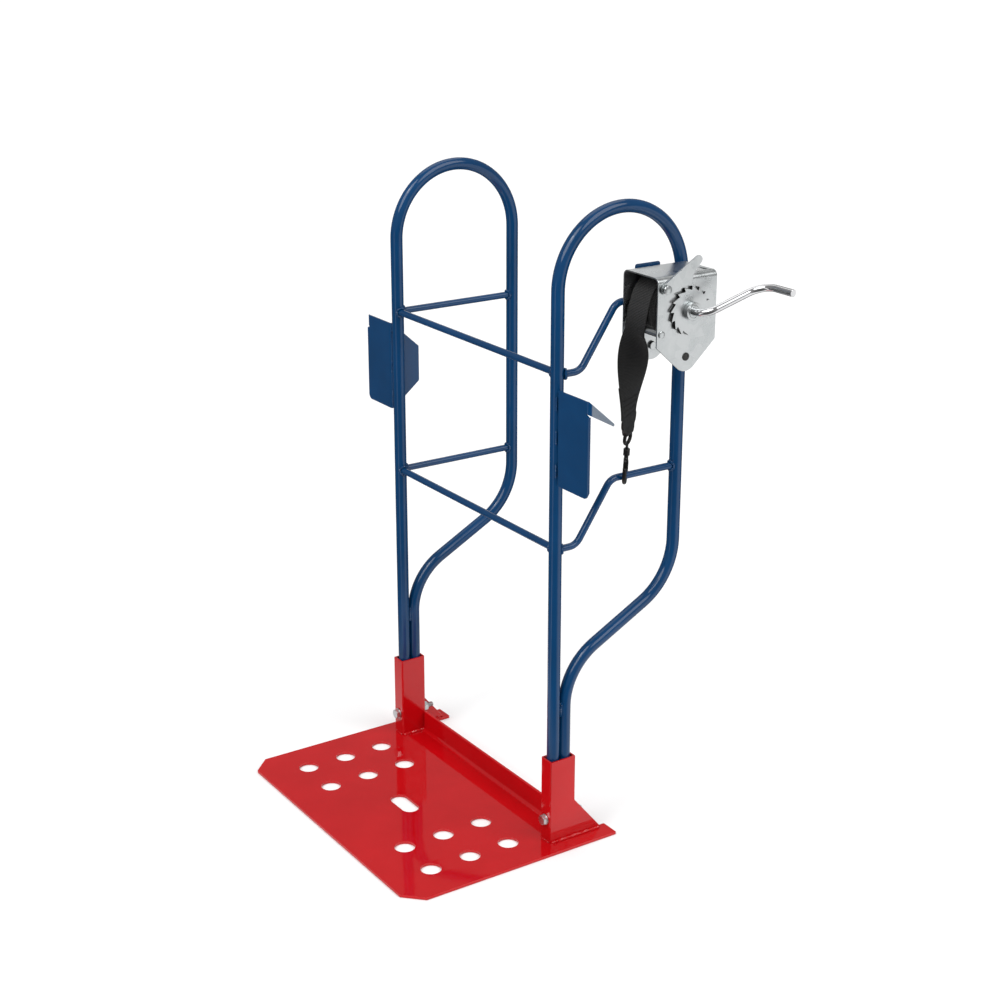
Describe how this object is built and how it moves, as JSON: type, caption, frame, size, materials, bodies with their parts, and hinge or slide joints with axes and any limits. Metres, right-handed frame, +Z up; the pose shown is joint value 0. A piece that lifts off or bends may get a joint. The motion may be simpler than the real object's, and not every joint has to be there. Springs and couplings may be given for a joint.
{
  "type": "paddock stand",
  "caption": "Upright stand with a perforated floor plate, tube hoops on plug-in sockets, side brackets, and a crank winch whose webbing strap snaps onto a side bar.",
  "frame": {"origin": "on the floor plate's underside, half way across it and in line with the hoops' front legs", "axes": "+Z up, +X towards the hoop that carries the winch, +Y towards the back, away from the plate's free edge"},
  "size_m": [0.832, 0.607, 1.117],
  "materials": {
    "red_paint": "gloss red paint",
    "blue_paint": "gloss dark blue paint",
    "zinc_plate": "bright zinc plate",
    "chrome_bar": "polished bright plate",
    "black_steel": "satin black oxide",
    "bush_bronze": "plain bronze",
    "webbing": "woven black polyester webbing",
    "black_rubber": "moulded black rubber"
  },
  "bodies": {
    "stand": {"base_plate": "red_paint", "socket_left": "red_paint", "socket_right": "red_paint", "hoop_left": "blue_paint", "hoop_right": "blue_paint", "bracket_left": "blue_paint", "bracket_right": "blue_paint", "side_bar_upper_left": "blue_paint", "side_bar_lower_left": "blue_paint", "side_bar_upper_right": "blue_paint", "side_bar_lower_right": "blue_paint", "cross_rail_upper": "blue_paint", "cross_rail_lower": "blue_paint", "winch_carrier": "blue_paint", "socket_bolt_left": "zinc_plate", "socket_front_washer_left": "zinc_plate", "socket_back_washer_left": "zinc_plate", "socket_nut_left": "zinc_plate", "socket_bolt_right": "zinc_plate", "socket_front_washer_right": "zinc_plate", "socket_back_washer_right": "zinc_plate", "socket_nut_right": "zinc_plate", "winch_frame": "zinc_plate", "winch_bolt_upper": "zinc_plate", "winch_nut_upper": "zinc_plate", "winch_bolt_lower": "zinc_plate", "winch_nut_lower": "zinc_plate", "strap_guide": "zinc_plate", "pawl_rivet": "zinc_plate", "pawl_spring": "zinc_plate", "bush_inner": "bush_bronze", "bush_outer": "bush_bronze", "strap": "webbing", "swivel_eye": "black_steel", "access_plug": "black_rubber"},
    "drum": {"drum_shaft": "zinc_plate", "drum_core": "zinc_plate", "strap_roll": "webbing", "ratchet_wheel": "zinc_plate", "crank_collar": "zinc_plate", "crank_pin": "zinc_plate", "crank": "chrome_bar"},
    "pawl_arm": {"pawl": "zinc_plate"},
    "hook": {"hook_body": "black_steel", "gate_pin": "zinc_plate"},
    "gate": {"hook_gate": "black_steel"}
  },
  "joints": [
    {"name": "drum_turn", "type": "hinge", "parent": "stand", "child": "drum", "pos_m": [0.31, 0.181, 0.95], "axis": [1, 0, 0], "continuous": true},
    {"name": "pawl_lift", "type": "hinge", "parent": "stand", "child": "pawl_arm", "pos_m": [0.3574, 0.131, 0.99], "axis": [1, 0, 0], "range_deg": [0, 28], "stiffness_Nm_per_rad": 0.05, "springref_deg": -28.65},
    {"name": "hook_swivel", "type": "hinge", "parent": "stand", "child": "hook", "pos_m": [0.25088, 0.14158, 0.65511], "axis": [0.1692, -0.0817, 0.9822], "range_deg": [-3, 50]},
    {"name": "gate_open", "type": "hinge", "parent": "hook", "child": "gate", "pos_m": [0.26105, 0.13452, 0.68433], "axis": [0.6682, 0.7421, -0.0534], "range_deg": [0, 28], "stiffness_Nm_per_rad": 0.01, "springref_deg": -17.19}
  ]
}
